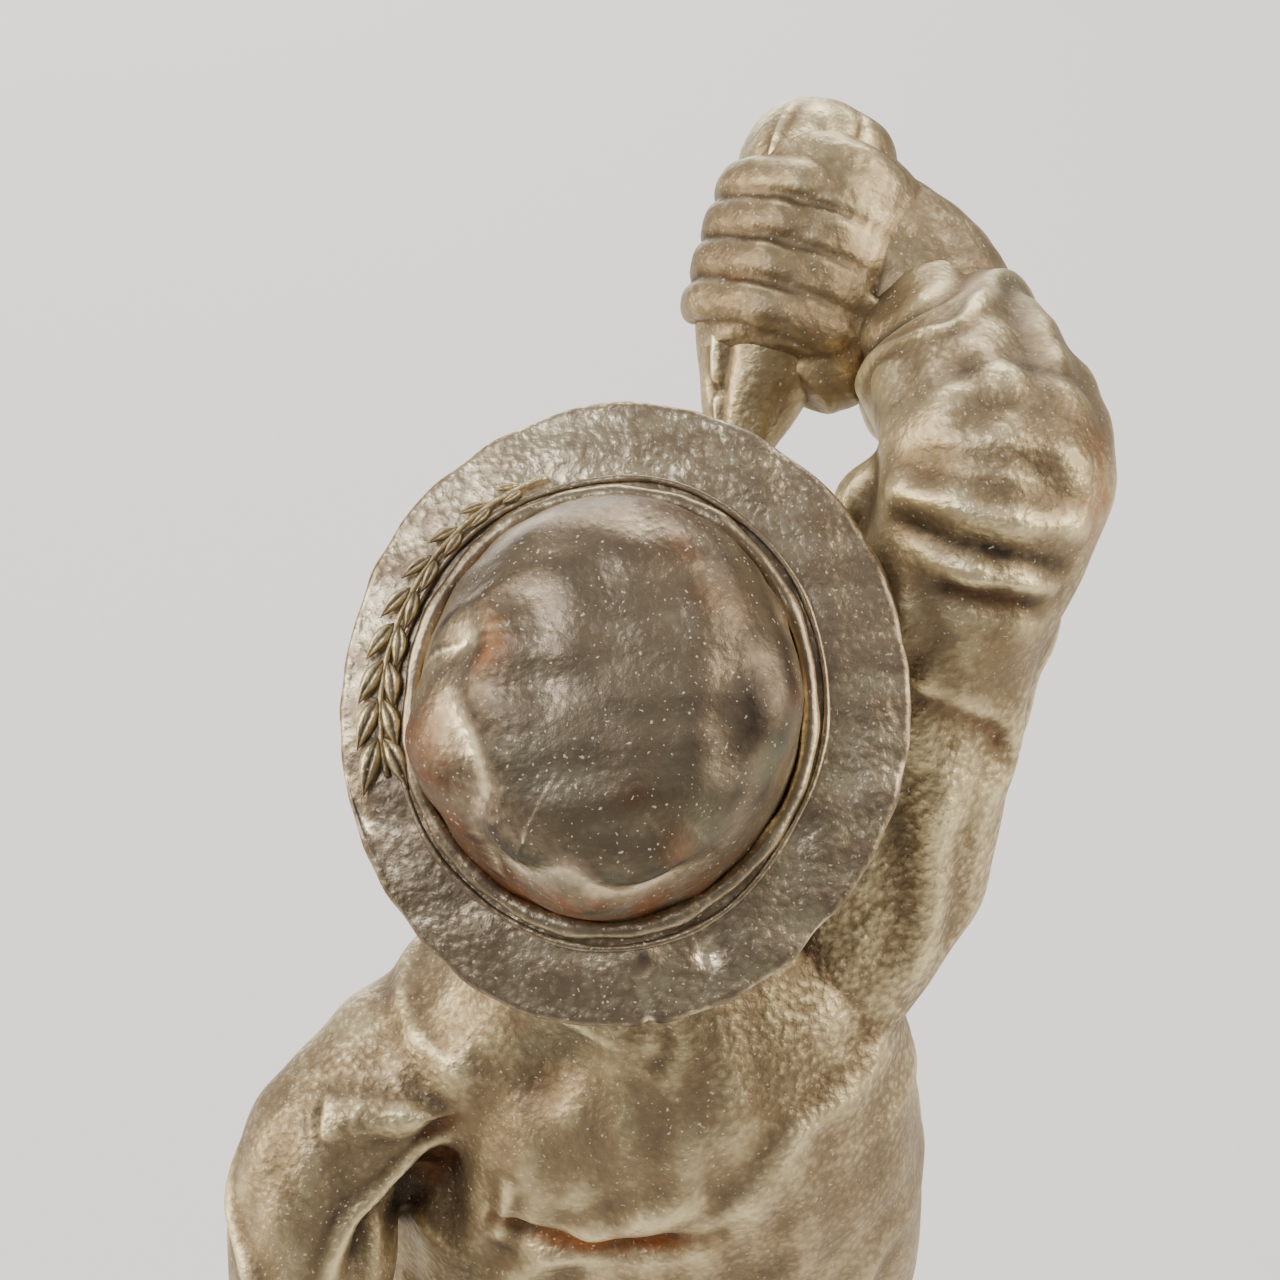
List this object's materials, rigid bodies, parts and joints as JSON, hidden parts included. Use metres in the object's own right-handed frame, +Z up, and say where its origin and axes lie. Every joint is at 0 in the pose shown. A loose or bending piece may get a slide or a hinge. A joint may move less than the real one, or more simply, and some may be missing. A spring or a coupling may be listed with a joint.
{
  "type": "figure trophy",
  "caption": "Cast metal figure in a brimmed hat, head back and drinking from a raised gourd flask, standing on a square wooden plinth with a blank nameplate.",
  "frame": {"origin": "middle of the felt underside, on the surface the trophy stands on", "axes": "+Z up; the figure and the nameplate face -Y; the figure's right arm, the raised one, is towards -X"},
  "size_m": [0.104, 0.104, 0.2856],
  "materials": {
    "cast_metal": "sand-cast white metal, antique bronze plating worn to a warm grey-tan, fine granular texture",
    "polished_cast_metal": "the same cast metal rubbed smooth and glossy on the crown, dark brown-grey with rust-brown in the creases",
    "steel_fixings": "plain zinc-plated steel",
    "ebonised_wood": "dark stained hardwood, satin lacquer",
    "brass_plate": "brushed brass, lightly tarnished, blank",
    "base_felt": "dark green felt"
  },
  "bodies": {
    "root": {"shirt_body": "cast_metal", "right_sleeve": "cast_metal", "left_sleeve": "cast_metal", "shoulder_dowel_right": "steel_fixings", "shoulder_dowel_left": "steel_fixings", "right_hand": "cast_metal", "left_hand": "cast_metal", "head": "cast_metal", "hat": "polished_cast_metal", "hat_cord": "cast_metal", "hat_sprig": "cast_metal", "flask": "cast_metal", "waist_sash": "cast_metal", "trouser_seat": "cast_metal", "right_trouser_leg": "cast_metal", "left_trouser_leg": "cast_metal", "right_boot": "cast_metal", "left_boot": "cast_metal", "ground_plate": "cast_metal", "locating_pin": "steel_fixings", "mounting_stud": "steel_fixings", "stud_washer": "steel_fixings", "stud_nut": "steel_fixings", "plinth_cap": "ebonised_wood", "plinth_body": "ebonised_wood", "plinth_foot": "ebonised_wood", "base_felt": "base_felt", "nameplate": "brass_plate", "nameplate_pin_1": "brass_plate", "nameplate_pin_2": "brass_plate", "nameplate_pin_3": "brass_plate", "nameplate_pin_4": "brass_plate"}
  },
  "joints": []
}
